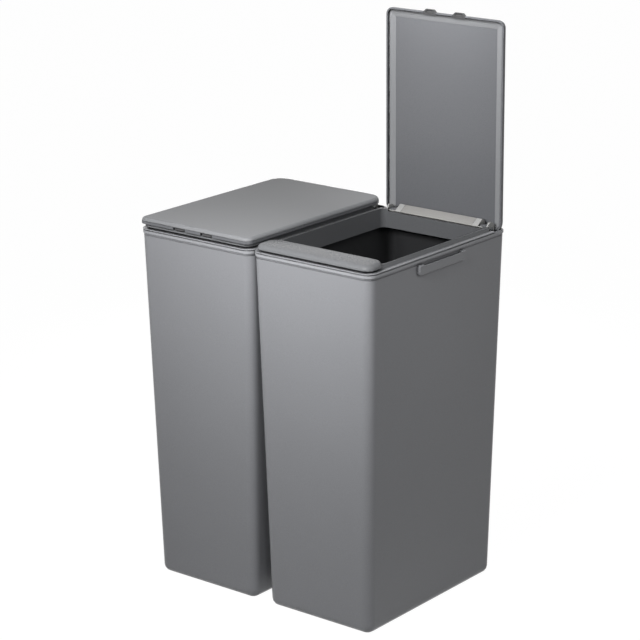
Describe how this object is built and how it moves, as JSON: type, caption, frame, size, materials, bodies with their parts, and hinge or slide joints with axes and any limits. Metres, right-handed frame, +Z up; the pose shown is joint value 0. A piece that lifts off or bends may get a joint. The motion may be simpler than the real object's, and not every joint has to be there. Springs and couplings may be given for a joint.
{
  "type": "double recycling bin",
  "caption": "Pair of tall tapered plastic waste bins joined side by side, each with a lift-off frame, a damped flat lid hinged at the rear and a side grip.",
  "frame": {"origin": "centre of the footprint of the whole object on the floor", "axes": "+X to the right, +Y to the rear where the lid hinges are, +Z up; the front faces -Y"},
  "size_m": [0.469, 0.3542, 0.914],
  "materials": {
    "tub_plastic": "fine satin, metallic grey",
    "frame_plastic": "satin, dark grey",
    "trim_plastic": "satin, metallic grey",
    "hinge_plastic": "satin, warm light grey",
    "bracket_plastic": "satin, light grey",
    "damper_plastic": "matt, black",
    "lid_plastic": "satin, metallic grey",
    "liner_plastic": "satin, metallic grey",
    "catch_plastic": "matt, dark grey",
    "clip_plastic": "matt, dark grey",
    "steel": "bright zinc-plated"
  },
  "bodies": {
    "bins": {"left_tub": "tub_plastic", "right_tub": "tub_plastic", "left_side_grip": "tub_plastic", "right_side_grip": "tub_plastic", "joining_clip_front": "clip_plastic", "joining_clip_rear": "clip_plastic"},
    "left_lid_unit": {"left_lid_frame": "frame_plastic", "left_front_bar": "trim_plastic", "left_hinge_cover": "hinge_plastic", "left_hinge_bracket_a": "bracket_plastic", "left_hinge_bracket_b": "bracket_plastic", "left_hinge_pin_short": "steel", "left_hinge_pin_long": "steel", "left_hinge_screws": "steel", "left_damper_housing": "damper_plastic"},
    "left_lid": {"left_lid_cover": "lid_plastic", "left_lid_liner": "liner_plastic", "left_damper_rotor": "damper_plastic"},
    "left_lid_catches": {"left_lid_catch_a": "catch_plastic", "left_lid_catch_b": "catch_plastic"},
    "right_lid_unit": {"right_lid_frame": "frame_plastic", "right_front_bar": "trim_plastic", "right_hinge_cover": "hinge_plastic", "right_hinge_bracket_a": "bracket_plastic", "right_hinge_bracket_b": "bracket_plastic", "right_hinge_pin_short": "steel", "right_hinge_pin_long": "steel", "right_hinge_screws": "steel", "right_damper_housing": "damper_plastic"},
    "right_lid": {"right_lid_cover": "lid_plastic", "right_lid_liner": "liner_plastic", "right_damper_rotor": "damper_plastic"},
    "right_lid_catches": {"right_lid_catch_a": "catch_plastic", "right_lid_catch_b": "catch_plastic"}
  },
  "joints": [
    {"name": "left_unit_lift", "type": "slide", "parent": "bins", "child": "left_lid_unit", "axis": [0, 0, 1], "range_m": [0, 0.12]},
    {"name": "left_lid_hinge", "type": "hinge", "parent": "left_lid_unit", "child": "left_lid", "pos_m": [-0.11515, 0.1521, 0.5808], "axis": [-1, 0, 0], "range_deg": [0, 90]},
    {"name": "left_catch_slide", "type": "slide", "parent": "left_lid", "child": "left_lid_catches", "axis": [0, -1, 0], "range_m": [0, 0.004]},
    {"name": "right_unit_lift", "type": "slide", "parent": "bins", "child": "right_lid_unit", "axis": [0, 0, 1], "range_m": [0, 0.12]},
    {"name": "right_lid_hinge", "type": "hinge", "parent": "right_lid_unit", "child": "right_lid", "pos_m": [0.11515, 0.1521, 0.5808], "axis": [-1, 0, 0], "range_deg": [-90, 0]},
    {"name": "right_catch_slide", "type": "slide", "parent": "right_lid", "child": "right_lid_catches", "axis": [0, 0, 1], "range_m": [-0.004, 0]}
  ],
  "couplings": [
    {"joint": "left_catch_slide", "follows": "left_lid_hinge", "m_per_rad": 0.002546},
    {"joint": "right_catch_slide", "follows": "right_lid_hinge", "m_per_rad": 0.002546}
  ]
}
